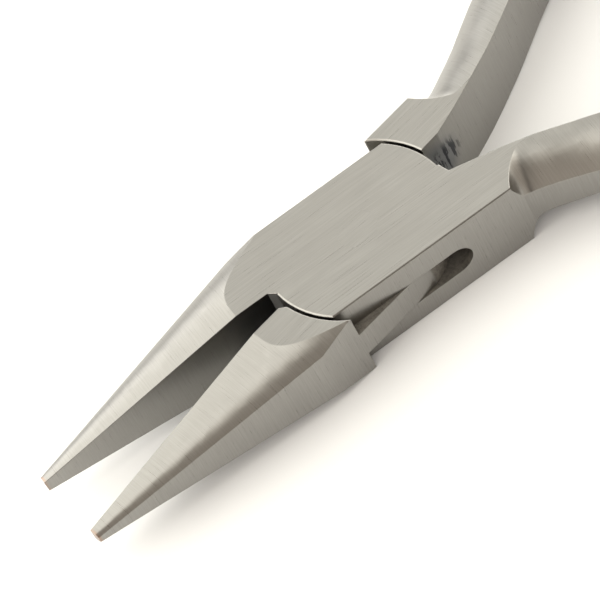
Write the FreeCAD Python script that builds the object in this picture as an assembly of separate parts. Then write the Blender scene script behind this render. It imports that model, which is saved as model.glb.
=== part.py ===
import FreeCAD, Part
import math
import os

# Box-joint jewellery pliers with long, flat-faced, half-round jaws.
# Millimetres. Z runs along the joint pin and z = 0 is the underside of the box, where the
# pliers lie on the bench. The pin's axis passes through x = 0, y = 0. +X points to the tips,
# and the plane y = 0 lies midway between the two levers. Each lever is drawn closed, with its
# own centreline on X, and is then swung half of the opening angle away from the middle.

V = FreeCAD.Vector

# Box joint
box_width = 13.0
box_thick = 8.3
lower_cheek = 2.42
slot_height = 3.06
cheek_radius = 9.43
shoulder_gap = 0.27
slot_end_x = 7.3
slot_end_lean = 20.0
slot_rear_step = 0.45
slot_rear_skim = 0.02
edge_chamfer = 0.12
tongue_clearance = 0.03
tongue_corner_radius = 6.2
tongue_corner_x = 1.0
tongue_root = 1.5
front_land_x = 10.08
front_land_rise = 0.62
rear_land_x = -9.5
rear_land_drop = 0.56
land_root = 1.0
root_facet_length = 2.1
root_facet_depth = 0.45

# Joint pin
pin_radius = 2.0
pin_clearance = 0.03

# Jaws
jaw_reach = 36.4
jaw_flat_runout = 13.6
jaw_side_runout = 11.2
jaw_tip_half_height = 0.7
jaw_tip_depth = 1.02
jaw_tip_side_half_height = 0.33
jaw_root_side_half_height = 3.06
jaw_crown = 4

# Handles
open_angle = 11.7
handle_start_x = -9.89
handle_start_y = 0.69
handle_start_heading = 13.0
handle_flare_out = (84.0, 12.0)
handle_turn_back = (66.0, -29.0)
handle_run_in = (260.0, -7.4)
handle_half_height = 3.92
handle_neck_rise = 0.28
handle_neck_rise_length = 6.0
handle_neck_depth = 4.3
handle_depth = 4.75
handle_full_depth_at = 18.0
handle_end_depth = 4.3
handle_side_share = 0.42
handle_crown_lead = 0.15
handle_crown_power = 2.5
handle_crown_points = 13
neck_sections = 8
neck_bunching = 1.5
shank_sections = 16
shank_bunching = 1.4
neck_radius = 2.4
neck_end = 6.8
neck_start_share = 0.975
neck_joint_share = 0.97
side_runout_x = -13.0
side_runout_radius = 3.0
side_runout_turn = 80.0

# Dipped grips
grip_wall = 1.3
grip_start = 36.5
grip_bench_gap = 0.06
grip_end_margin = 2.0
grip_end_round = 4.5
grip_roundness = 3.0
grip_section_points = 32
grip_sections = 9
grip_end_turns = (22, 42, 58, 71, 80, 86)
grip_end_fullness = 0.8
grip_lip = [(0.0, 0.84), (0.35, 0.91), (1.2, 0.97), (3.0, 1.0)]

# Leaf springs and their screws
leaf_thick = 0.5
leaf_width = 4.6
leaf_seat = 7.0
leaf_station = 26.5
leaf_recess = 0.35
leaf_side_clearance = 0.1
leaf_recess_run_share = 1.7
leaf_bend_radius = 8.0
leaf_bend_heading = -58.0
leaf_tip_heading = -29.0
leaf_tip_gap = 0.12
screw_radius = 1.0
screw_length = 2.6
screw_hole_clearance = 0.08
screw_head_radius = 1.75
screw_head_height = 0.95
screw_head_round_share = 0.4
screw_slot_width = 0.45
screw_slot_depth = 0.45

# Sizes that follow from the ones above
half_width = box_width / 2
half_thick = box_thick / 2
shoulder_radius = cheek_radius + shoulder_gap
slot_floor = lower_cheek
slot_roof = lower_cheek + slot_height
slot_radius = slot_height / 2
grip_half_height = half_thick - grip_bench_gap
handle_end_half_height = grip_half_height - grip_wall
half_open = open_angle / 2
margin = 5.0


def prism(points, z_low, z_high):
    """A closed outline of (x, y) corners, extruded from z_low to z_high."""
    corners = [V(x, y, z_low) for x, y in points]
    outline = Part.makePolygon(corners + corners[:1])
    return Part.Face(outline).extrude(V(0, 0, z_high - z_low))


def turned(profile):
    """A solid turned about the pin's axis from an (r, z) outline."""
    corners = [V(r, 0, z) for r, z in profile]
    outline = Part.makePolygon(corners + corners[:1])
    return Part.Face(outline).revolve(V(0, 0, 0), V(0, 0, 1), 360)


def flip(shape):
    """The same piece turned over about its own centreline, jaw and handle changing sides."""
    turned_over = shape.copy()
    turned_over.rotate(V(0, 0, half_thick), V(1, 0, 0), 180)
    return turned_over


def superellipse(power, angle):
    """A point on the unit superellipse of this power, in the direction of angle."""
    c = math.cos(angle)
    s = math.sin(angle)
    reach = (abs(c) ** power + abs(s) ** power) ** (-1 / power)
    return reach * c, reach * s


def smooth(value, low, high):
    """0 below low, 1 above high, and a smooth rise between."""
    share = min(1.0, max(0.0, (value - low) / (high - low)))
    return share * share * (3 - 2 * share)


# Handle path: the line of the handle's inner face, drawn for the handle on the +y side

def handle_station(s):
    """Place and heading of the inner face, s along it from its start beside the box.

    The heading is in degrees above the -X direction, so it grows as the handle bows out."""
    x = handle_start_x
    y = handle_start_y
    heading = math.radians(handle_start_heading)
    left = s
    for radius, turn in (handle_flare_out, handle_turn_back, handle_run_in):
        length = radius * math.radians(abs(turn))
        last = (radius, turn) == handle_run_in
        step = left if last or left < length else length
        change = math.copysign(step / radius, turn)
        bend = math.copysign(radius, turn)
        x -= bend * (math.sin(heading + change) - math.sin(heading))
        y += bend * (math.cos(heading) - math.cos(heading + change))
        heading += change
        left -= step
        if left <= 0:
            break
    return x, y, math.degrees(heading)


def handle_length():
    """Length of the inner face from beside the box to the end of the steel."""
    arcs = (handle_flare_out, handle_turn_back, handle_run_in)
    return sum(radius * math.radians(abs(turn)) for radius, turn in arcs)


def station_point(s, outward, z):
    """The point this far outward of the inner face at s, and this high above mid-thickness."""
    x, y, heading = handle_station(s)
    angle = math.radians(heading)
    return V(x + outward * math.sin(angle), y + outward * math.cos(angle), half_thick + z)


def handle_sizes(s):
    """At s: half height at the inner face, depth, and the flare that the neck adds to both."""
    rise_end = neck_end + handle_neck_rise_length
    taper = smooth(s, rise_end, grip_start)
    height = handle_half_height + (handle_end_half_height - handle_half_height) * taper
    height += handle_neck_rise * (1 - smooth(s, neck_end, rise_end))
    swelling = smooth(s, neck_end, handle_full_depth_at)
    thinning = smooth(s, handle_full_depth_at, handle_length())
    depth = handle_neck_depth + (handle_depth - handle_neck_depth) * swelling
    depth += (handle_end_depth - handle_depth) * thinning
    inside = max(0.0, neck_end - s)
    flare = neck_radius - math.sqrt(max(0.0, neck_radius ** 2 - inside ** 2))
    return height, depth, flare


def handle_section(s):
    """The handle's outline at s: flat inner face, flat side away from it, and a crowned top
    and underside that fall away ever more steeply towards that side."""
    height, depth, flare = handle_sizes(s)
    fall = height * (1 - handle_side_share)
    crown = []
    for i in range(handle_crown_points):
        t = i / (handle_crown_points - 1)
        drop = fall * (handle_crown_lead * t + (1 - handle_crown_lead) * t ** handle_crown_power)
        crown.append((t * (depth + flare), height + flare - drop))
    top = Part.BSplineCurve()
    top.interpolate([station_point(s, out, rise) for out, rise in crown])
    low = Part.BSplineCurve()
    low.interpolate([station_point(s, out, -rise) for out, rise in reversed(crown)])
    return Part.Wire([top.toShape(), Part.makeLine(top.EndPoint, low.StartPoint),
                      low.toShape(), Part.makeLine(low.EndPoint, top.StartPoint)])


def handle_blank():
    """The handle on the +y side, from inside its flared neck to the end of the steel."""
    first = neck_end - neck_start_share * neck_radius
    shares = [i / (neck_sections - 1) for i in range(neck_sections)]
    flare = [first + (neck_end - first) * share ** neck_bunching for share in shares]
    shank_length = handle_length() - neck_end
    shares = [i / shank_sections for i in range(1, shank_sections + 1)]
    shank = [neck_end + shank_length * share ** shank_bunching for share in shares]
    return Part.makeLoft([handle_section(s) for s in flare + shank], True, False)


def handle_root():
    """The block between the box and the neck of the +y handle, oversize on its outer sides."""
    end = neck_end - neck_joint_share * neck_radius
    inner = station_point(end, 0, 0)
    outer = station_point(end, box_width, 0)
    slope = math.tan(math.radians(handle_start_heading))
    start_y = handle_start_y + slope * handle_start_x
    points = [(0, start_y), (0, box_width), (outer.x, outer.y), (inner.x, inner.y),
              (handle_start_x, handle_start_y)]
    return prism(points, -margin, box_thick + margin)


# Jaws

def jaw_section(x, side):
    """The jaw's outline at x: a flat inner face on y = 0, a flat side on this side of it, and
    a crowned top and underside that fall away towards that side."""
    back = jaw_reach - x
    height_rate = (half_thick - jaw_tip_half_height) / (jaw_reach - jaw_flat_runout)
    depth_rate = (half_width - jaw_tip_depth) / (jaw_reach - jaw_side_runout)
    side_rise = jaw_root_side_half_height - jaw_tip_side_half_height
    height = jaw_tip_half_height + height_rate * back
    depth = jaw_tip_depth + depth_rate * back
    side_height = jaw_tip_side_half_height + side_rise / (jaw_reach - jaw_side_runout) * back
    crown = []
    for i in range(17):
        out = i / 16
        crown.append((side * out * depth, height - (height - side_height) * out ** jaw_crown))
    top = Part.BSplineCurve()
    top.interpolate([V(x, y, half_thick + z) for y, z in crown])
    low = Part.BSplineCurve()
    low.interpolate([V(x, y, half_thick - z) for y, z in reversed(crown)])
    return Part.Wire([top.toShape(), Part.makeLine(top.EndPoint, low.StartPoint),
                      low.toShape(), Part.makeLine(low.EndPoint, top.StartPoint)])


def jaw_blank(side):
    """A straight taper from the pin's axis to the tip, on the +y or the -y side."""
    return Part.makeLoft([jaw_section(0, side), jaw_section(jaw_reach, side)], True, True)


def flats():
    """What the grinding of the flat faces leaves: the box's width and thickness, widening
    behind the box in a hollow curve on the side of the +y handle."""
    reach = 2 * handle_length()
    start, middle, end = [side_runout_point(side_runout_turn * k) for k in (0.0, 0.5, 1.0)]
    hollow = Part.Arc(start, middle, end).toShape()
    corners = [end, V(end.x, reach, 0), V(-reach, reach, 0), V(-reach, -half_width, 0),
               V(reach, -half_width, 0), V(reach, half_width, 0), start]
    sides = [Part.makeLine(a, b) for a, b in zip(corners, corners[1:])]
    slab = Part.Face(Part.Wire([hollow] + sides)).extrude(V(0, 0, box_thick))
    long_edges = [e for e in slab.Edges if on_long_side(e)]
    return slab.makeChamfer(edge_chamfer, long_edges)


def side_runout_point(turn):
    """The point of the hollow behind the box where its wall has turned this many degrees."""
    angle = math.radians(turn)
    return V(side_runout_x - side_runout_radius * math.sin(angle),
             half_width + side_runout_radius * (1 - math.cos(angle)), 0)


def on_long_side(edge):
    """Whether an edge of the flats runs along the top or bottom of the box's sides."""
    ends = [v.Point for v in edge.Vertexes]
    level = abs(ends[0].z - ends[1].z) < 1e-6
    beside = all(abs(abs(p.y) - half_width) < 1e-6 for p in ends)
    return level and beside


# Outer lever

def slot_wall(side):
    """Ends of the slot wall's centre line: at the box's side face and at its inner end."""
    lean = math.tan(math.radians(slot_end_lean))
    shift = slot_radius / math.cos(math.radians(slot_end_lean))
    outer_end = (-slot_end_x + shift + margin * lean, half_width + margin)
    inner_y = 0.0 if side < 0 else handle_start_y - slot_rear_step
    rise = outer_end[1] - inner_y
    inner_end = (outer_end[0] - rise * lean, inner_y)
    return outer_end, inner_end


def slot_tool():
    """The space cut through the outer lever for the other lever's tongue."""
    rear_out, rear_in = slot_wall(1)
    front_out, front_in = slot_wall(-1)
    reach = shoulder_radius + margin
    slope = math.tan(math.radians(handle_start_heading))
    rear_y = handle_start_y - slot_rear_skim
    points = [rear_out, rear_in, (handle_start_x, rear_y),
              (-reach, rear_y + slope * (reach + handle_start_x)),
              (-reach, -half_width - margin),
              (-front_out[0], -front_out[1]), (-front_in[0], 0.0), (reach, 0.0),
              (reach, half_width + margin)]
    tool = prism(points, slot_floor, slot_roof)
    for (x0, y0), (x1, y1), sign in ((rear_out, rear_in, 1), (front_out, front_in, -1)):
        start = V(sign * x0, sign * y0, slot_floor + slot_radius)
        end = V(sign * x1, sign * y1, slot_floor + slot_radius)
        run = end - start
        tool = tool.fuse(Part.makeCylinder(slot_radius, run.Length, start, run))
    return tool


def cheek_disc():
    """The round cheeks about the pin, with a small bevel at both faces."""
    c = edge_chamfer
    return turned([(0, 0), (cheek_radius - c, 0), (cheek_radius, c),
                   (cheek_radius, box_thick - c), (cheek_radius - c, box_thick),
                   (0, box_thick)])


def corner_lands():
    """The small corners where the jaw and the handle root stand proud of the cheeks' arc."""
    inside = cheek_radius - land_root
    front = prism([(inside, 0), (front_land_x, 0), (cheek_radius, front_land_rise),
                   (inside, front_land_rise)], 0, box_thick)
    rear = prism([(-inside, -rear_land_drop), (rear_land_x, -rear_land_drop),
                  (handle_start_x, handle_start_y), (-inside, handle_start_y)], 0, box_thick)
    return front.fuse(rear)


def outer_lever():
    """Jaw at -y, slotted box and handle at +y, in one forging."""
    raw = cheek_disc().fuse([jaw_blank(-1), handle_root(), handle_blank(), corner_lands()])
    lever = raw.common(flats())
    lever = lever.cut(slot_tool())
    lever = lever.cut(Part.makeCylinder(pin_radius, box_thick, V(0, 0, 0)))
    return lever.cut(spring_fixing_cuts()).removeSplitter()


# Inner lever

def tongue():
    """The flat tongue that passes through the slot, with two corners rounded to clear it."""
    low = slot_floor + tongue_clearance
    r = tongue_corner_radius
    corner_y = half_width - r
    diagonal = r / math.sqrt(2)
    tip_x = tongue_corner_x + r
    reach = shoulder_radius + tongue_root
    slope = math.tan(math.radians(handle_start_heading))
    rear_y = -handle_start_y - slope * (reach + handle_start_x) - root_facet_depth
    lines = []
    for side in (-1, 1):
        inner_y = rear_y if side < 0 else 0.0
        step_y = -root_facet_depth if side < 0 else 0.0
        corners = [(side * tip_x, -side * corner_y), (side * tip_x, step_y),
                   (side * reach, inner_y), (side * reach, side * half_width),
                   (-side * tongue_corner_x, side * half_width)]
        points = [V(x, y, low) for x, y in corners]
        lines += [Part.makeLine(p, q) for p, q in zip(points, points[1:])]
        middle = V(-side * (tongue_corner_x + diagonal), side * (corner_y + diagonal), low)
        end = V(-side * tip_x, side * corner_y, low)
        lines.append(Part.Arc(points[-1], middle, end).toShape())
    outline = Part.Wire(lines)
    return Part.Face(outline).extrude(V(0, 0, slot_height - 2 * tongue_clearance))


def corner_relief():
    """The bevel that lets the jaw's inner corner pass the other lever's front land."""
    lean = (front_land_x - cheek_radius) / front_land_rise
    gap = shoulder_gap
    rise = front_land_rise + gap
    edge_x = front_land_x + gap
    inside = cheek_radius - land_root
    return prism([(inside, -gap), (edge_x + lean * gap, -gap), (edge_x - lean * rise, rise),
                  (inside, rise)], -margin, box_thick + margin)


def root_facet():
    """The bevel filed across the inner face of the +y handle's root, next to the shoulder."""
    end = station_point(root_facet_length, 0, 0)
    corner = station_point(0, root_facet_depth, 0)
    beyond = corner + (corner - end)
    return prism([(end.x, end.y), (beyond.x, beyond.y), (beyond.x, -margin), (end.x, -margin)],
                 -margin, box_thick + margin)


def shoulder_tool():
    """The round space about the pin that the cheeks turn in, flared slightly at both faces."""
    c = edge_chamfer
    r = shoulder_radius
    return turned([(0, -margin), (r + c + margin, -margin), (r, c), (r, box_thick - c),
                   (r + c + margin, box_thick + margin), (0, box_thick + margin)])


def inner_lever():
    """Jaw at +y, tongue and handle at -y, in one forging."""
    raw = jaw_blank(-1).fuse([handle_root(), handle_blank()])
    ends = flip(raw.common(flats()).cut([spring_fixing_cuts(), root_facet()]))
    ends = ends.cut([shoulder_tool(), corner_relief()])
    lever = ends.fuse(tongue())
    bore = Part.makeCylinder(pin_radius + pin_clearance, box_thick, V(0, 0, 0))
    return lever.cut(bore).removeSplitter()


# Leaf springs, screws and grips, drawn for the +y handle

def leaf_frame():
    """Origin, direction along the handle and direction to the other handle, at the screw."""
    x, y, heading = handle_station(leaf_station)
    angle = math.radians(heading)
    along = V(-math.cos(angle), math.sin(angle), 0)
    inward = V(-math.sin(angle), -math.cos(angle), 0)
    return V(x, y, half_thick), along, inward


def leaf_path():
    """Corners and bends of the leaf's centreline: (x, y, heading) at each change of bend,
    with the radius of the last sweep, which brings the tip to the middle plane."""
    origin, along, inward = leaf_frame()
    heading = math.radians(handle_station(leaf_station)[2])
    lift = inward * (leaf_thick / 2 - leaf_recess)
    start = origin - along * (leaf_seat / 2) + lift
    seat_end = origin + along * (leaf_seat / 2) + lift
    low = math.radians(leaf_bend_heading)
    bend_x = seat_end.x - leaf_bend_radius * (math.sin(heading) - math.sin(low))
    bend_y = seat_end.y + leaf_bend_radius * (math.cos(low) - math.cos(heading))
    final = math.radians(leaf_tip_heading)
    slope = math.tan(math.radians(half_open))
    clear = (leaf_thick + leaf_tip_gap) / 2 / math.cos(math.radians(half_open))
    run = math.sin(final) - math.sin(low)
    drop = math.cos(final) - math.cos(low)
    sweep = (bend_y - slope * bend_x - clear) / (drop - slope * run)
    end_x = bend_x - sweep * run
    end_y = bend_y - sweep * drop
    return start, seat_end, V(bend_x, bend_y, half_thick), V(end_x, end_y, half_thick), sweep


def arc_by_heading(start, radius, from_heading, to_heading, offset):
    """An arc that starts from a point of the centreline and changes heading, drawn offset
    to the outward side. The heading is measured as for the handle."""
    turn = math.copysign(1.0, to_heading - from_heading)
    points = []
    for share in (0.0, 0.5, 1.0):
        h = from_heading + (to_heading - from_heading) * share
        x = start.x - turn * radius * (math.sin(h) - math.sin(from_heading))
        y = start.y + turn * radius * (math.cos(from_heading) - math.cos(h))
        points.append(V(x + offset * math.sin(h), y + offset * math.cos(h), start.z))
    return points


def leaf_spring():
    """A strip bent from its seat on the handle to the middle plane, with a hole for its screw."""
    start, seat_end, bend_end, tip, sweep = leaf_path()
    h0 = math.radians(handle_station(leaf_station)[2])
    h1 = math.radians(leaf_bend_heading)
    h2 = math.radians(leaf_tip_heading)
    sides = []
    for offset in (leaf_thick / 2, -leaf_thick / 2):
        aside = V(math.sin(h0), math.cos(h0), 0) * offset
        bend = arc_by_heading(seat_end, leaf_bend_radius, h0, h1, offset)
        reach = arc_by_heading(bend_end, sweep, h1, h2, offset)
        sides.append((start + aside, bend, reach))
    edges = []
    for first, bend, reach in sides:
        edges += [Part.makeLine(first, bend[0]), Part.Arc(*bend).toShape(),
                  Part.Arc(*reach).toShape()]
    edges += [Part.makeLine(sides[0][0], sides[1][0]),
              Part.makeLine(sides[0][2][2], sides[1][2][2])]
    outline = Part.Wire(Part.__sortEdges__(edges))
    strip = Part.Face(outline).extrude(V(0, 0, leaf_width))
    strip.translate(V(0, 0, -leaf_width / 2))
    origin, along, inward = leaf_frame()
    hole = Part.makeCylinder(screw_radius + screw_hole_clearance, 4 * leaf_thick,
                             origin - inward * 2 * leaf_thick, inward)
    return strip.cut(hole)


def spring_fixing_cuts():
    """The recess that the leaf sits in and the hole for its screw, in the +y handle."""
    origin, along, inward = leaf_frame()
    climb = leaf_recess_run_share * math.sqrt(2 * leaf_bend_radius * leaf_recess)
    length = leaf_seat + climb + 2 * leaf_side_clearance
    width = leaf_width + 2 * leaf_side_clearance
    recess = Part.makeBox(length, leaf_recess + margin, width)
    heading = handle_station(leaf_station)[2]
    recess.translate(V(-leaf_seat / 2 - leaf_side_clearance, -leaf_recess, -width / 2))
    recess.rotate(V(0, 0, 0), V(0, 0, 1), 180 - heading)
    recess.translate(origin)
    hole = Part.makeCylinder(screw_radius, screw_length, origin, inward * -1)
    return recess.fuse(hole)


def spring_screw():
    """A slotted screw: shank in the handle, head on the leaf."""
    origin, along, inward = leaf_frame()
    seat = origin + inward * (leaf_thick - leaf_recess)
    shank = Part.makeCylinder(screw_radius, screw_length + leaf_thick - leaf_recess, seat,
                              inward * -1)
    head = Part.makeCylinder(screw_head_radius, screw_head_height, seat, inward)
    rim = outer_rim(head, origin, inward)
    head = head.makeFillet(screw_head_height * screw_head_round_share, [rim])
    slot = Part.makeBox(4 * screw_head_radius, 2 * screw_slot_depth, screw_slot_width)
    slot.translate(V(-2 * screw_head_radius, -screw_slot_depth, -screw_slot_width / 2))
    slot.rotate(V(0, 0, 0), V(0, 0, 1), 180 - handle_station(leaf_station)[2])
    slot.translate(seat + inward * screw_head_height)
    return shank.fuse(head).cut(slot).removeSplitter()


def outer_rim(head, origin, inward):
    """The rim of the screw head that is furthest from the handle."""
    circles = [e for e in head.Edges if e.Curve.TypeId == "Part::GeomCircle"]
    return max(circles, key=lambda e: (e.Curve.Center - origin).dot(inward))


def grip_section(s, share):
    """The grip's outline at s; share scales it about the handle's middle at the closed end."""
    height, depth, _ = handle_sizes(min(s, handle_length()))
    half_depth = (depth / 2 + grip_wall) * share
    half_height = min(height + grip_wall, grip_half_height) * share
    points = []
    for i in range(grip_section_points):
        rise, out = superellipse(grip_roundness, 2 * math.pi * i / grip_section_points)
        points.append(station_point(s, depth / 2 + out * half_depth, rise * half_height))
    curve = Part.BSplineCurve()
    curve.interpolate(points, True)
    return Part.Wire([curve.toShape()])


def grip(handle):
    """A dipped sleeve round the handle, with a thinner lip in front and a round closed end."""
    total = handle_length() + grip_end_margin
    lip = [(grip_start + ahead, share) for ahead, share in grip_lip]
    first = lip[-1][0]
    last = total - grip_end_round
    step = (last - first) / grip_sections
    run = [(first + step * i, 1.0) for i in range(1, grip_sections + 1)]
    turns = [math.radians(angle) for angle in grip_end_turns]
    end = [(last + grip_end_round * math.sin(a), math.cos(a) ** grip_end_fullness)
           for a in turns]
    sleeve = Part.makeLoft([grip_section(s, k) for s, k in lip + run + end], True, False)
    return sleeve.cut(handle)


# Assembly

def swing(shape, angle):
    """The piece swung about the pin."""
    placed = shape.copy()
    placed.rotate(V(0, 0, 0), V(0, 0, 1), angle)
    return placed


def main():
    os.makedirs("parts", exist_ok=True)
    outer = outer_lever()
    inner = inner_lever()
    handle = handle_blank()
    sleeve = grip(handle)
    pieces = {
        "outer_lever": swing(outer, -half_open),
        "inner_lever": swing(inner, half_open),
        "joint_pin": Part.makeCylinder(pin_radius, box_thick, V(0, 0, 0)),
        "outer_leaf_spring": swing(leaf_spring(), -half_open),
        "inner_leaf_spring": swing(flip(leaf_spring()), half_open),
        "outer_spring_screw": swing(spring_screw(), -half_open),
        "inner_spring_screw": swing(flip(spring_screw()), half_open),
        "outer_grip": swing(sleeve, -half_open),
        "inner_grip": swing(flip(sleeve), half_open),
    }
    for name, shape in pieces.items():
        print(name, "volume", round(shape.Volume, 1), "mm3")
        shape.exportStep("parts/" + name + ".step")


main()
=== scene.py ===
"""Box-joint jewellery pliers on a pale bench: steel levers, leaf springs, screws, dipped grips."""
import math

import bpy
import numpy as np
from mathutils import Matrix


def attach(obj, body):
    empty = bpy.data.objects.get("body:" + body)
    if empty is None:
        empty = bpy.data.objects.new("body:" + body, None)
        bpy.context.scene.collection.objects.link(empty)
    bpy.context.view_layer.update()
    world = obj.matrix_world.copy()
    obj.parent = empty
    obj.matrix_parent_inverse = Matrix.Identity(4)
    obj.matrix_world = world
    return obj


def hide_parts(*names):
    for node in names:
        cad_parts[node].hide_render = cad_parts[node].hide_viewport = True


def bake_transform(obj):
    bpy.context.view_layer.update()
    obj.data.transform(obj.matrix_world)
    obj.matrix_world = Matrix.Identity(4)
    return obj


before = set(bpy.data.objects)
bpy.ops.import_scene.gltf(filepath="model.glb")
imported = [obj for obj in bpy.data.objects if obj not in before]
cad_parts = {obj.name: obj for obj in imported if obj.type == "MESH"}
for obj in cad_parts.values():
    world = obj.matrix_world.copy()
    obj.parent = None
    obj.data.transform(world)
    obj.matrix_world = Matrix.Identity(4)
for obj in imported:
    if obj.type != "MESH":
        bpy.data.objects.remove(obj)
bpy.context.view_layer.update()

# Sizes of the levers, in millimetres and radians, in the frame of each lever's drawing
MM = 0.001
HALF_OPEN = math.radians(5.85)
BOX_THICK, HALF_WIDTH, CHEEK_RADIUS, PIN_RADIUS, JAW_REACH = 8.3, 6.5, 9.43, 2.0, 36.4
SLOT_FLOOR, SLOT_ROOF = 2.42, 5.48

# ---------------------------------------------------------------- camera

AZIMUTH, ELEVATION, ROLL = math.radians(166.48), math.radians(52.42), math.radians(-29.73)
DISTANCE, SIDE_SHIFT, UP_SHIFT = 458.8 * MM, -6.431 * MM, -4.254 * MM
LENS, SENSOR = 301.0, 36.0
NEAREST, FURTHEST = 0.01, 20.0


def set_camera():
    """A long lens above the jaws' open side, turned so that the tips point down to the left."""
    back = np.array([math.sin(AZIMUTH) * math.cos(ELEVATION),
                     -math.cos(AZIMUTH) * math.cos(ELEVATION), math.sin(ELEVATION)])
    level = np.cross([0, 0, 1], back)
    level /= np.linalg.norm(level)
    upright = np.cross(back, level)
    right = math.cos(ROLL) * level + math.sin(ROLL) * upright
    up = -math.sin(ROLL) * level + math.cos(ROLL) * upright
    place = np.array([0, 0, BOX_THICK / 2 * MM])
    place = place + DISTANCE * back + SIDE_SHIFT * right + UP_SHIFT * up
    data = bpy.data.cameras.new("camera")
    data.lens, data.sensor_width, data.sensor_fit = LENS, SENSOR, "HORIZONTAL"
    data.clip_start, data.clip_end = NEAREST, FURTHEST
    camera = bpy.data.objects.new("camera", data)
    matrix = np.eye(4)
    matrix[:3, 0], matrix[:3, 1], matrix[:3, 2], matrix[:3, 3] = right, up, back, place
    camera.matrix_world = Matrix(matrix.tolist())
    bpy.context.scene.collection.objects.link(camera)
    bpy.context.scene.camera = camera


# ---------------------------------------------------------------- node helpers

class Nodes:
    """A short way to write a node tree: add returns a node, and the others an output."""

    def __init__(self, tree):
        self.tree = tree

    def add(self, kind, inputs=(), **settings):
        node = self.tree.nodes.new(kind)
        for name, value in settings.items():
            setattr(node, name, value)
        for key, value in dict(inputs).items():
            self.put(node.inputs[key], value)
        return node

    def put(self, socket, value):
        if isinstance(value, bpy.types.NodeSocket):
            self.tree.links.new(value, socket)
        else:
            socket.default_value = value

    def math(self, operation, a, b=0.0, clamp=False):
        node = self.add("ShaderNodeMath", {0: a, 1: b}, operation=operation, use_clamp=clamp)
        return node.outputs[0]

    def ramp(self, value, stops, interpolation="LINEAR"):
        node = self.add("ShaderNodeValToRGB", {0: value})
        ramp = node.color_ramp
        ramp.interpolation = interpolation
        while len(ramp.elements) < len(stops):
            ramp.elements.new(0.5)
        for element, (place, color) in zip(ramp.elements, stops):
            element.position = place
            color = (color,) * 3 if isinstance(color, (int, float)) else color
            element.color = tuple(color) + (1.0,)
        return node.outputs[0]

    def span(self, value, low, high, out_low=0.0, out_high=1.0, smooth=True):
        node = self.add("ShaderNodeMapRange",
                        {0: value, 1: low, 2: high, 3: out_low, 4: out_high})
        node.interpolation_type = "SMOOTHSTEP" if smooth else "LINEAR"
        return node.outputs[0]

    def mix(self, share, a, b, blend="MIX"):
        node = self.add("ShaderNodeMix", data_type="RGBA", blend_type=blend)
        self.put(node.inputs[0], share)
        self.put(node.inputs[6], a if not isinstance(a, tuple) else a + (1.0,))
        self.put(node.inputs[7], b if not isinstance(b, tuple) else b + (1.0,))
        return node.outputs[2]

    def noise(self, place, stretch, detail=3.0, rough=0.55):
        mapped = self.add("ShaderNodeMapping", {0: place, 3: stretch})
        node = self.add("ShaderNodeTexNoise",
                        {"Vector": mapped.outputs[0], "Scale": 1.0, "Detail": detail,
                         "Roughness": rough})
        return node.outputs[0]


def new_material(name):
    material = bpy.data.materials.new(name)
    material.use_nodes = True
    material.node_tree.nodes.clear()
    nodes = Nodes(material.node_tree)
    shader = nodes.add("ShaderNodeBsdfPrincipled")
    end = nodes.add("ShaderNodeOutputMaterial")
    nodes.tree.links.new(shader.outputs[0], end.inputs[0])
    return material, nodes, shader


# ---------------------------------------------------------------- light and bench

# Tint of the tent's wall by the y part of the direction to it, and its brightness by the x part
TENT = [(-1.0, (0.46, 0.45, 0.43)), (-0.93, (0.78, 0.77, 0.74)), (-0.84, (1.0, 0.985, 0.94)),
        (-0.72, (0.88, 0.865, 0.81)), (-0.59, (0.62, 0.605, 0.555)), (-0.2, (0.66, 0.645, 0.60)),
        (0.05, (0.64, 0.62, 0.57)), (0.22, (0.38, 0.355, 0.315)), (0.38, (0.16, 0.142, 0.122)),
        (1.0, (0.17, 0.15, 0.13))]
TENT_STRENGTH = 5.6
LEAN = [(-1.0, 0.80), (-0.55, 0.85), (-0.36, 0.60), (-0.18, 0.25), (-0.08, 0.31), (0.10, 0.55),
        (0.35, 0.85), (1.0, 0.90)]


def set_light():
    """A light tent, open and dim on the +y side above, brightest low on the -y side."""
    world = bpy.data.worlds.new("light_tent")
    bpy.context.scene.world = world
    world.use_nodes = True
    world.node_tree.nodes.clear()
    nodes = Nodes(world.node_tree)
    place = nodes.add("ShaderNodeTexCoord").outputs["Generated"]
    split = nodes.add("ShaderNodeSeparateXYZ", {0: place}).outputs
    across = nodes.span(split["Y"], -1.0, 1.0, smooth=False)
    wall = nodes.ramp(across, [(y / 2 + 0.5, color) for y, color in TENT])
    along = nodes.span(split["X"], -1.0, 1.0, smooth=False)
    lean = nodes.ramp(along, [(x / 2 + 0.5, level) for x, level in LEAN])
    level = nodes.add("ShaderNodeRGBToBW", {0: lean}).outputs[0]
    strength = nodes.math("MULTIPLY", level, TENT_STRENGTH)
    back = nodes.add("ShaderNodeBackground", {0: wall, 1: strength})
    end = nodes.add("ShaderNodeOutputWorld")
    nodes.tree.links.new(back.outputs[0], end.inputs[0])


def fill_panel(name, direction, size, distance, power, color):
    """A soft box this far off in this direction that brightens the bench and not the steel."""
    data = bpy.data.lights.new(name, "AREA")
    data.shape, data.size, data.size_y = "RECTANGLE", size[0], size[1]
    data.energy, data.color = power, color
    light = bpy.data.objects.new(name, data)
    aim = np.array(direction) / np.linalg.norm(direction)
    level = np.cross([0, 1, 0.01], aim)
    level /= np.linalg.norm(level)
    rows = np.eye(4)
    rows[:3, 0], rows[:3, 1], rows[:3, 2] = level, np.cross(aim, level), aim
    rows[:3, 3] = aim * distance
    light.matrix_world = Matrix(rows.tolist())
    light.visible_glossy = False
    bpy.context.scene.collection.objects.link(light)


BENCH_REACH = 3.0


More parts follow.
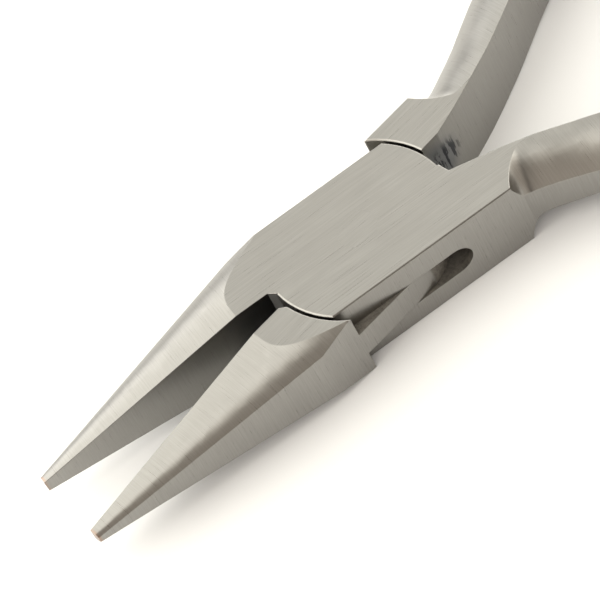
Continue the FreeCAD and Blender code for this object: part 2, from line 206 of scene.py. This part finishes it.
def lay_bench():
    """A pale matt sheet that the pliers lie on."""
    far = BENCH_REACH
    corners = [(-far, -far, 0), (far, -far, 0), (far, far, 0), (-far, far, 0)]
    mesh = bpy.data.meshes.new("bench")
    mesh.from_pydata(corners, [], [(0, 1, 2, 3)])
    bench = bpy.data.objects.new("bench", mesh)
    bpy.context.scene.collection.objects.link(bench)
    material, nodes, shader = new_material("bench_white")
    shader.inputs["Base Color"].default_value = (0.70, 0.70, 0.70, 1)
    shader.inputs["Roughness"].default_value = 0.8
    shader.inputs["Specular IOR Level"].default_value = 0.2
    mesh.materials.append(material)


# ---------------------------------------------------------------- shapes

HANDLE_START, HANDLE_HEADING = (-9.89, 0.69), math.radians(13.0)
HANDLE_BENDS = ((84.0, 12.0), (66.0, -29.0), (260.0, -7.4))
HANDLE_LENGTH = sum(radius * math.radians(abs(turn)) for radius, turn in HANDLE_BENDS)
HANDLE_FULL_AT, HANDLE_DEPTH, HANDLE_END_DEPTH = 18.0, 4.75, 4.3
PATH_STEP = 0.02
GRIP_START, GRIP_ROUND, GRIP_WALL, GRIP_HALF_HEIGHT, GRIP_POWER = 36.5, 4.5, 1.3, 4.09, 3.0
GRIP_OVERRUN, GRIP_NECK_SIZE, GRIP_NECK_LENGTH, GRIP_END_FULLNESS = 2.0, 0.978, 9.0, 0.8
GRIP_RIPPLE, GRIP_RIPPLE_PER_MM = 0.006, 0.55
GRIP_RINGS, GRIP_AROUND = 110, 72
# The lip from inside the steel to the bead: millimetres past the grip's start, and size
GRIP_LIP = [(0.55, 0.45), (0.12, 0.60), (0.0, 0.74), (0.02, 0.82), (0.12, 0.88),
            (0.35, 0.935), (0.75, 0.975), (1.2, 0.992), (1.8, 1.0), (2.6, 0.996),
            (3.4, 0.984), (4.4, 0.978)]
GRIP_END_TURNS = (6, 14, 22, 30, 38, 46, 54, 61, 68, 74, 79, 83, 86)
LEAF_THICK, LEAF_WIDTH, LEAF_SEAT, LEAF_STATION, LEAF_RECESS = 0.5, 4.6, 7.0, 26.5, 0.35
LEAF_BEND_RADIUS, LEAF_BEND_HEADING, LEAF_TIP_GAP = 8.0, math.radians(-58.0), 0.12
LEAF_TIP_HEADING = math.radians(-29.0)
LEAF_CORNER, LEAF_THIN_END, LEAF_THIN_SHARE, LEAF_POWER = 0.9, 0.2, 0.35, 8.0
LEAF_END_STEPS = np.array([0.02, 0.08, 0.2, 0.4, 0.7])
LEAF_STEPS, LEAF_AROUND = 60, 48
UV_SIZE = 10.0


def smooth(value, low, high):
    """3 t^2 - 2 t^3, where t is the value's share of the way from low to high."""
    share = np.clip((value - low) / (high - low), 0, 1)
    return share * share * (3 - 2 * share)


def running_sum(values):
    """The sum of the values before each one, which starts from zero."""
    return np.concatenate([[0], np.cumsum(values[:-1])])


def handle_path(s):
    """The handle's inner face at distance s from the box: the heading is linear in s along
    each bend, and x and y are the sums of its cosine and sine, taken at short steps."""
    fine = np.arange(0, HANDLE_LENGTH + 6, PATH_STEP)
    ends = np.cumsum([radius * math.radians(abs(turn)) for radius, turn in HANDLE_BENDS])
    curve = np.select([fine < ends[0], fine < ends[1]],
                      [1 / HANDLE_BENDS[0][0], -1 / HANDLE_BENDS[1][0]],
                      -1 / HANDLE_BENDS[2][0])
    heading = HANDLE_HEADING + running_sum(curve) * PATH_STEP
    middle = heading + curve * PATH_STEP / 2
    x = HANDLE_START[0] - running_sum(np.cos(middle)) * PATH_STEP
    y = HANDLE_START[1] + running_sum(np.sin(middle)) * PATH_STEP
    return np.interp(s, fine, x), np.interp(s, fine, y), np.interp(s, fine, heading)


def on_lever(points, side):
    """Points drawn for the +y handle in millimetres, put on the outer lever (-1) or turned
    over on to the inner lever (+1), swung open and given in metres."""
    x, y, z = points[..., 0], points[..., 1], points[..., 2]
    if side > 0:
        y, z = -y, BOX_THICK - z
    c, d = math.cos(side * HALF_OPEN), math.sin(side * HALF_OPEN)
    return np.stack([x * c - y * d, x * d + y * c, z], axis=-1) * MM


def tube_faces(count, around):
    """The quads between count rings of points, and the triangles that close each end."""
    i, j = np.meshgrid(np.arange(count - 1), np.arange(around), indexing="ij")
    k = (j + 1) % around
    quads = np.stack([i * around + j, i * around + k, (i + 1) * around + k,
                      (i + 1) * around + j], axis=-1).reshape(-1, 4)
    j = np.arange(around)
    k = (j + 1) % around
    pole, last_row = count * around, (count - 1) * around
    first = np.stack([np.full(around, pole), k, j], axis=-1)
    last = np.stack([np.full(around, pole + 1), last_row + j, last_row + k], axis=-1)
    return quads, first, last


def lay_uv(mesh, rings):
    """A UV map that runs round the ring, and along the tube in units of UV_SIZE."""
    count, around = rings.shape[:2]
    along = np.linalg.norm(np.diff(rings.mean(axis=1), axis=0), axis=1)
    along = np.concatenate([[0], np.cumsum(along)]) / MM / UV_SIZE
    v = np.concatenate([np.repeat(along, around), along[[0, -1]]])
    u = np.concatenate([np.tile(np.arange(around) / around, count), [0.5, 0.5]])
    index = np.empty(len(mesh.loops), dtype=np.int32)
    mesh.loops.foreach_get("vertex_index", index)
    coords = np.stack([u[index], v[index]], axis=-1).astype(np.float32)
    layer = mesh.uv_layers.new(name="along")
    layer.uv.foreach_set("vector", coords.ravel())


def tube_mesh(name, rings):
    """A closed skin over rings of points, rings[i, j], with a pole closing each end."""
    count, around = rings.shape[:2]
    poles = [rings[0].mean(axis=0), rings[-1].mean(axis=0)]
    points = np.concatenate([rings.reshape(-1, 3), poles])
    quads, first, last = tube_faces(count, around)
    mesh = bpy.data.meshes.new(name)
    mesh.from_pydata(points.tolist(), [], quads.tolist() + first.tolist() + last.tolist())
    lay_uv(mesh, rings)
    volume = np.einsum("ij,ij->i", points[quads[:, 0]],
                       np.cross(points[quads[:, 1]], points[quads[:, 2]])).sum()
    if volume < 0:
        mesh.flip_normals()
    mesh.polygons.foreach_set("use_smooth", np.ones(len(mesh.polygons), dtype=bool))
    mesh.update()
    piece = bpy.data.objects.new(name, mesh)
    bpy.context.scene.collection.objects.link(piece)
    return piece


def superellipse(power, angle):
    """The point at this angle on |a|^power + |b|^power = 1."""
    c, s = np.cos(angle), np.sin(angle)
    reach = (np.abs(c) ** power + np.abs(s) ** power) ** (-1 / power)
    return reach * c, reach * s


def dipped_grip(name, side):
    """A superellipse of power 3 carried along the handle. Its size rises from inside the
    steel over a thin front lip, swells into a bead, is full along the grip with slow ripples
    left by the dip, and falls as cos^0.8 round the closed end."""
    last = HANDLE_LENGTH + GRIP_OVERRUN - GRIP_ROUND
    ahead = np.array([place for place, _ in GRIP_LIP]) + GRIP_START
    body = np.linspace(ahead[-1] + 0.5, last, GRIP_RINGS)
    turn = np.radians(GRIP_END_TURNS)
    s = np.concatenate([ahead, body, last + GRIP_ROUND * np.sin(turn)])
    swell = smooth(body, ahead[-1], ahead[-1] + GRIP_NECK_LENGTH)
    full = GRIP_NECK_SIZE + (1 - GRIP_NECK_SIZE) * swell
    lip_size = [size for _, size in GRIP_LIP]
    size = np.concatenate([lip_size, full, np.cos(turn) ** GRIP_END_FULLNESS])
    x, y, heading = handle_path(np.minimum(s, HANDLE_LENGTH + 3))
    depth = HANDLE_DEPTH + (HANDLE_END_DEPTH - HANDLE_DEPTH) * smooth(
        np.minimum(s, HANDLE_LENGTH), HANDLE_FULL_AT, HANDLE_LENGTH)
    angle = np.arange(GRIP_AROUND) / GRIP_AROUND * 2 * math.pi
    rise, out = superellipse(GRIP_POWER, angle)
    phase = 1.7 if side > 0 else 0.4
    wave = np.sin(s[:, None] * GRIP_RIPPLE_PER_MM + phase + 2 * np.sin(angle)[None, :])
    grown = size[:, None] * (1 - GRIP_RIPPLE - GRIP_RIPPLE * wave)
    outward = depth[:, None] / 2 + out * grown * (depth[:, None] / 2 + GRIP_WALL)
    height = rise * grown * GRIP_HALF_HEIGHT
    rings = np.stack([x[:, None] + outward * np.sin(heading)[:, None],
                      y[:, None] + outward * np.cos(heading)[:, None],
                      BOX_THICK / 2 + height], axis=-1)
    return tube_mesh(name, on_lever(rings, side))


def leaf_line(count):
    """The leaf's centreline and headings: straight on its seat, a tight arc down to the bend
    heading, then one long arc back to the tip heading, whose end comes to the middle plane."""
    x0, y0, heading = (float(v) for v in handle_path(LEAF_STATION))
    lift = LEAF_THICK / 2 - LEAF_RECESS
    base = np.array([x0 - lift * math.sin(heading), y0 - lift * math.cos(heading)])
    along = np.array([-math.cos(heading), math.sin(heading)])
    start, seat_end = base - along * LEAF_SEAT / 2, base + along * LEAF_SEAT / 2
    low, final, r = LEAF_BEND_HEADING, LEAF_TIP_HEADING, LEAF_BEND_RADIUS
    bend = seat_end + r * np.array([-(math.sin(heading) - math.sin(low)),
                                    math.cos(low) - math.cos(heading)])
    clear = (LEAF_THICK + LEAF_TIP_GAP) / 2 / math.cos(HALF_OPEN)
    slope = math.tan(HALF_OPEN)
    run, drop = math.sin(final) - math.sin(low), math.cos(final) - math.cos(low)
    sweep = (bend[1] - slope * bend[0] - clear) / (drop - slope * run)
    t = np.linspace(0, 1, count)[:, None]
    seat = start + (seat_end - start) * t
    h1 = heading + (low - heading) * t
    arc1 = seat_end + r * np.hstack([np.sin(h1) - math.sin(heading),
                                     np.cos(h1) - math.cos(heading)])
    h2 = low + (final - low) * t
    arc2 = bend + sweep * np.hstack([-(np.sin(h2) - math.sin(low)),
                                     -(np.cos(h2) - math.cos(low))])
    line = np.concatenate([seat, arc1[1:], arc2[1:]])
    turned = np.concatenate([np.full(count, heading), h1[1:, 0], h2[1:, 0]])
    return line, turned


def leaf_strip(name, side):
    """A flat strip carried along the leaf's centreline: its section is a superellipse of
    power 8, which rounds the rolled edges, and it narrows in a quarter circle at each end."""
    line, heading = leaf_line(LEAF_STEPS)
    gone = np.concatenate([[0], np.cumsum(np.linalg.norm(np.diff(line, axis=0), axis=1))])
    total = gone[-1]
    place = np.sort(np.concatenate([gone, LEAF_END_STEPS, total - LEAF_END_STEPS]))
    x, y = np.interp(place, gone, line[:, 0]), np.interp(place, gone, line[:, 1])
    heading = np.interp(place, gone, heading)
    edge = np.minimum(place, total - place)
    corner = np.clip(1 - edge / LEAF_CORNER, 0, 1)
    half_width = LEAF_WIDTH / 2 - LEAF_CORNER * (1 - np.sqrt(1 - corner ** 2))
    thin = np.clip(1 - edge / LEAF_THIN_END, 0, 1)
    half_thick = LEAF_THICK / 2 * (1 - LEAF_THIN_SHARE * thin ** 2)
    angle = np.arange(LEAF_AROUND) / LEAF_AROUND * 2 * math.pi + 0.01
    rise, out = superellipse(LEAF_POWER, angle)
    outward = out[None, :] * half_thick[:, None]
    rings = np.stack([x[:, None] + outward * np.sin(heading)[:, None],
                      y[:, None] + outward * np.cos(heading)[:, None],
                      BOX_THICK / 2 + rise[None, :] * half_width[:, None]], axis=-1)
    return tube_mesh(name, on_lever(rings, side))


# ---------------------------------------------------------------- materials

# The first colour below is edge wear brightened as a painted highlight; the second is a painted
# shadow along the outer jaw's inner edge.
WORN_EDGE_HIGHLIGHT, INNER_EDGE_SHADOW = (0.50, 0.49, 0.46), (0.065, 0.050, 0.038)
# The first colour below darkens the notch between the jaw roots; the second stains the tips.
DARKER_NOTCH, TIP_STAIN = (0.060, 0.063, 0.072), (0.36, 0.25, 0.19)
# The first colour below is a painted dark reflection for the filed facet at the root; the second
# is the file marks.
ROOT_DARK_REFLECTION, FILE_MARK = (0.11, 0.12, 0.14), (0.022, 0.024, 0.030)
EASED_EDGE = 0.1 * MM
# Middles of the darker notch, the root's painted dark reflection and its file marks
NOTCH, ROOT, MARKS = (9.6, 0.0, 4.15), (-10.4, -1.6, 4.6), (-11.6, -2.2, 4.6)


def millimetres(nodes):
    """Object coordinates in millimetres."""
    place = nodes.add("ShaderNodeTexCoord").outputs["Object"]
    return nodes.add("ShaderNodeVectorMath", {0: place, 1: (1000, 1000, 1000)},
                     operation="MULTIPLY").outputs[0]


def near(nodes, place, point, far, close):
    """A mask of one out to the distance close from the point, and of nothing past far."""
    beside = nodes.add("ShaderNodeVectorMath", {0: place, 1: point},
                       operation="DISTANCE").outputs["Value"]
    return nodes.span(beside, far, close)


def eased_normal(nodes, drawn, normal):
    """The normal eased over sharp edges, left alone by the flush pin, and the edges' mask."""
    off_axis = nodes.add("ShaderNodeVectorMath", {0: drawn, 1: (1, 1, 0)},
                         operation="MULTIPLY").outputs[0]
    off_axis = nodes.add("ShaderNodeVectorMath", {0: off_axis}, operation="LENGTH")
    past_pin = nodes.span(off_axis.outputs["Value"], PIN_RADIUS + 0.25, PIN_RADIUS + 0.45)
    bevel = nodes.add("ShaderNodeBevel", {"Radius": EASED_EDGE}, samples=6).outputs[0]
    eased = nodes.add("ShaderNodeMix", data_type="VECTOR")
    nodes.put(eased.inputs[0], past_pin)
    nodes.put(eased.inputs[4], normal)
    nodes.put(eased.inputs[5], bevel)
    turn_away = nodes.add("ShaderNodeVectorMath", {0: bevel, 1: normal},
                          operation="DOT_PRODUCT").outputs["Value"]
    edge = nodes.math("MULTIPLY", nodes.span(turn_away, 0.985, 0.80), past_pin)
    return eased.outputs[1], edge


def brushed_steel(name, turn, side):
    """Satin forged steel: fine lines along the box's flats and across the jaws, handles and
    sides, edge wear brightened as a painted highlight, oxide in the slot, a darker notch,
    stained tips, and file marks with a painted dark reflection at the root.
    The pattern is turned with the lever. side is -1 for the outer lever, which has a painted
    shadow along its inner edge, 1 for the inner lever, which has the file marks and the painted
    dark reflection at the root, and 0 for the pin."""
    material, nodes, shader = new_material(name)
    place = millimetres(nodes)
    drawn = nodes.add("ShaderNodeVectorRotate", {"Vector": place, "Angle": -turn},
                      rotation_type="Z_AXIS").outputs[0]
    split = nodes.add("ShaderNodeSeparateXYZ", {0: drawn}).outputs
    along, z = split["X"], split["Z"]
    aside = nodes.math("ABSOLUTE", split["Y"])
    normal = nodes.add("ShaderNodeNewGeometry").outputs["Normal"]
    facing = nodes.add("ShaderNodeSeparateXYZ", {0: normal}).outputs["Z"]
    facing = nodes.math("ABSOLUTE", facing)
    flat = nodes.span(facing, 0.992, 0.999)
    upright = nodes.span(facing, 0.5, 0.3)

    lengthwise = nodes.noise(drawn, (0.16, 11.0, 11.0), 4.0, 0.65)
    crosswise = nodes.noise(drawn, (11.0, 0.28, 0.28), 4.0, 0.65)
    lines = nodes.mix(flat, crosswise, lengthwise)
    lines = nodes.add("ShaderNodeSeparateColor", {0: lines}).outputs[0]
    blotch = nodes.noise(drawn, (0.22, 0.26, 0.26), 2.0)
    grain = nodes.noise(place, (2.2, 2.2, 2.2), 4.0, 0.7)
    tone = nodes.ramp(lines, [(0.25, (0.272, 0.265, 0.250)), (0.5, (0.306, 0.298, 0.281)),
                              (0.75, (0.340, 0.332, 0.314))])
    tone = nodes.mix(nodes.span(blotch, 0.35, 0.7, 0.0, 0.25), tone, (0.280, 0.270, 0.252))

    eased, edge = eased_normal(nodes, drawn, normal)
    # Edge wear, its colour also brightened to paint a highlight along the arrises
    edge_wear_and_highlight = nodes.math("MULTIPLY", edge, nodes.span(grain, 0.38, 0.62, 0.20, 0.75))
    tone = nodes.mix(edge_wear_and_highlight, tone, WORN_EDGE_HIGHLIGHT)
    # A painted shadow: the outer jaw's inner edge darkened dark brown where the inner jaw shades
    # it
    if side < 0:
        inner = nodes.math("MULTIPLY", nodes.span(aside, 0.22, 0.12),
                           nodes.span(along, 10.5, 12.0))
        inner = nodes.math("MULTIPLY", inner, nodes.math("MULTIPLY", edge, 1.4), clamp=True)
        tone = nodes.mix(inner, tone, INNER_EDGE_SHADOW)

    inside = nodes.math("MULTIPLY", nodes.span(z, SLOT_FLOOR - 0.12, SLOT_FLOOR + 0.02),
                        nodes.span(z, SLOT_ROOF + 0.12, SLOT_ROOF - 0.02))
    within = nodes.span(aside, HALF_WIDTH - 0.03, HALF_WIDTH - 0.12)
    inside = nodes.math("MULTIPLY", inside, within)
    beside_pin = nodes.span(nodes.math("ABSOLUTE", along), CHEEK_RADIUS + 0.17,
                            CHEEK_RADIUS - 0.43)
    slot = nodes.math("MULTIPLY", inside, beside_pin)
    oxide = nodes.ramp(grain, [(0.3, (0.075, 0.068, 0.058)), (0.7, (0.19, 0.175, 0.15))])
    tone = nodes.mix(slot, tone, oxide)
    # The notch between the jaw roots, darkened on its upright faces
    notch = nodes.math("MULTIPLY", near(nodes, drawn, NOTCH, 6.5, 3.2), upright)
    tone = nodes.mix(nodes.math("MULTIPLY", notch, 0.55), tone, DARKER_NOTCH)
    tip = nodes.math("MULTIPLY", nodes.span(along, JAW_REACH - 0.4, JAW_REACH - 0.05),
                     nodes.span(grain, 0.35, 0.6, 0.25, 0.8))
    tone = nodes.mix(tip, tone, TIP_STAIN)

    # The inner lever's root: a painted dark reflection on the filed facet's upright faces, then
    # real file marks
    if side > 0:
        root_reflection = nodes.math("MULTIPLY", near(nodes, drawn, ROOT, 3.6, 1.8), upright)
        tone = nodes.mix(nodes.math("MULTIPLY", root_reflection, 0.6), tone, ROOT_DARK_REFLECTION)
        marks = nodes.noise(drawn, (2.6, 2.6, 0.42), 3.0, 0.6)
        marks = nodes.math("MULTIPLY", nodes.span(marks, 0.50, 0.56),
                           near(nodes, drawn, MARKS, 2.6, 1.4))
        marks = nodes.math("MULTIPLY", marks, upright)
        tone = nodes.mix(nodes.math("MULTIPLY", marks, 0.9), tone, FILE_MARK)

    nodes.put(shader.inputs["Base Color"], tone)
    rough = nodes.span(lines, 0.3, 0.7, 0.27, 0.33, smooth=False)
    rough = nodes.math("ADD", rough, nodes.math("MULTIPLY", slot, 0.25), clamp=True)
    nodes.put(shader.inputs["Roughness"], rough)
    nodes.put(shader.inputs["Metallic"], nodes.span(slot, 0.0, 1.0, 1.0, 0.35, smooth=False))
    bump = nodes.add("ShaderNodeBump", {"Strength": 0.16, "Distance": 0.000010,
                                        "Height": lines, "Normal": eased})
    nodes.put(shader.inputs["Normal"], bump.outputs[0])
    return material


def turned_steel(name):
    """Bright screw steel with a fine grain and darker stains."""
    material, nodes, shader = new_material(name)
    place = millimetres(nodes)
    fine = nodes.noise(place, (7.0, 7.0, 7.0), 4.0, 0.6)
    stain = nodes.noise(place, (0.9, 0.9, 0.9), 2.0)
    tone = nodes.ramp(fine, [(0.3, (0.36, 0.35, 0.335)), (0.7, (0.47, 0.46, 0.44))])
    tone = nodes.mix(nodes.span(stain, 0.4, 0.7, 0.0, 0.4), tone, (0.30, 0.28, 0.25))
    nodes.put(shader.inputs["Base Color"], tone)
    nodes.put(shader.inputs["Roughness"], nodes.span(fine, 0.3, 0.7, 0.20, 0.32))
    shader.inputs["Metallic"].default_value = 1.0
    bevel = nodes.add("ShaderNodeBevel", {"Radius": EASED_EDGE}, samples=6).outputs[0]
    bump = nodes.add("ShaderNodeBump", {"Strength": 0.25, "Distance": 0.00001,
                                        "Height": fine, "Normal": bevel})
    nodes.put(shader.inputs["Normal"], bump.outputs[0])
    return material


def rolled_strip(name):
    """Blue-grey spring strip, with rolling lines along its length and a straw temper colour."""
    material, nodes, shader = new_material(name)
    place = nodes.add("ShaderNodeUVMap", uv_map="along").outputs[0]
    lines = nodes.noise(place, (160.0, 2.0, 1.0), 3.0, 0.6)
    haze = nodes.noise(place, (3.0, 1.2, 1.0), 2.0)
    tone = nodes.ramp(lines, [(0.3, (0.30, 0.31, 0.325)), (0.7, (0.40, 0.41, 0.42))])
    tone = nodes.mix(nodes.span(haze, 0.42, 0.72, 0.0, 0.45), tone, (0.36, 0.31, 0.23))
    nodes.put(shader.inputs["Base Color"], tone)
    nodes.put(shader.inputs["Roughness"], nodes.span(lines, 0.3, 0.7, 0.18, 0.30))
    shader.inputs["Metallic"].default_value = 1.0
    bump = nodes.add("ShaderNodeBump", {"Strength": 0.2, "Distance": 0.000008,
                                        "Height": lines})
    nodes.put(shader.inputs["Normal"], bump.outputs[0])
    return material


def dipped_vinyl(name):
    """Deep blue vinyl: a satin skin with orange peel, cloudy colour and small paler specks."""
    material, nodes, shader = new_material(name)
    place = millimetres(nodes)
    cloud = nodes.noise(place, (0.10, 0.10, 0.10), 3.0)
    peel = nodes.noise(place, (1.3, 1.3, 1.3), 2.0, 0.5)
    speck = nodes.noise(place, (6.0, 6.0, 6.0), 2.0, 0.6)
    tone = nodes.ramp(cloud, [(0.35, (0.012, 0.030, 0.085)), (0.65, (0.020, 0.048, 0.125))])
    tone = nodes.mix(nodes.span(speck, 0.56, 0.74, 0.0, 0.30), tone, (0.05, 0.085, 0.17))
    nodes.put(shader.inputs["Base Color"], tone)
    nodes.put(shader.inputs["Roughness"], nodes.span(cloud, 0.3, 0.7, 0.34, 0.48))
    shader.inputs["Specular IOR Level"].default_value = 0.5
    shader.inputs["Coat Weight"].default_value = 0.15
    shader.inputs["Coat Roughness"].default_value = 0.25
    height = nodes.math("ADD", peel, nodes.math("MULTIPLY", speck, 0.25))
    bump = nodes.add("ShaderNodeBump", {"Strength": 0.5, "Distance": 0.00012,
                                        "Height": height})
    nodes.put(shader.inputs["Normal"], bump.outputs[0])
    return material


def dress(node, material):
    """Gives a carried-over node its finish."""
    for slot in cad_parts[node].material_slots:
        slot.material = material


# ---------------------------------------------------------------- the pliers

set_camera()
set_light()
fill_panel("bench_fill", direction=(0.25, 0.85, 0.75), size=(1.6, 1.6), distance=1.5,
           power=9.0, color=(1.0, 1.0, 1.0))
lay_bench()

screw_steel = turned_steel("screw_steel")
spring_steel = rolled_strip("spring_steel")
vinyl = dipped_vinyl("grip_vinyl")
dress("outer_lever", brushed_steel("outer_lever_steel", -HALF_OPEN, -1))
dress("inner_lever", brushed_steel("inner_lever_steel", HALF_OPEN, 1))
dress("joint_pin", brushed_steel("joint_pin_steel", 0.0, 0))
for half, other, side in (("outer", "inner", -1), ("inner", "outer", 1)):
    dress(half + "_spring_screw", screw_steel)
    grip = dipped_grip(half + "_dipped_grip", side)
    grip.data.materials.append(vinyl)
    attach(grip, half + "_half")
    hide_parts(half + "_grip")
    leaf = leaf_strip(half + "_leaf", side)
    leaf.data.materials.append(spring_steel)
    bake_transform(leaf)
    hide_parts(half + "_leaf_spring")

scene = bpy.context.scene
scene.view_settings.view_transform = "Standard"
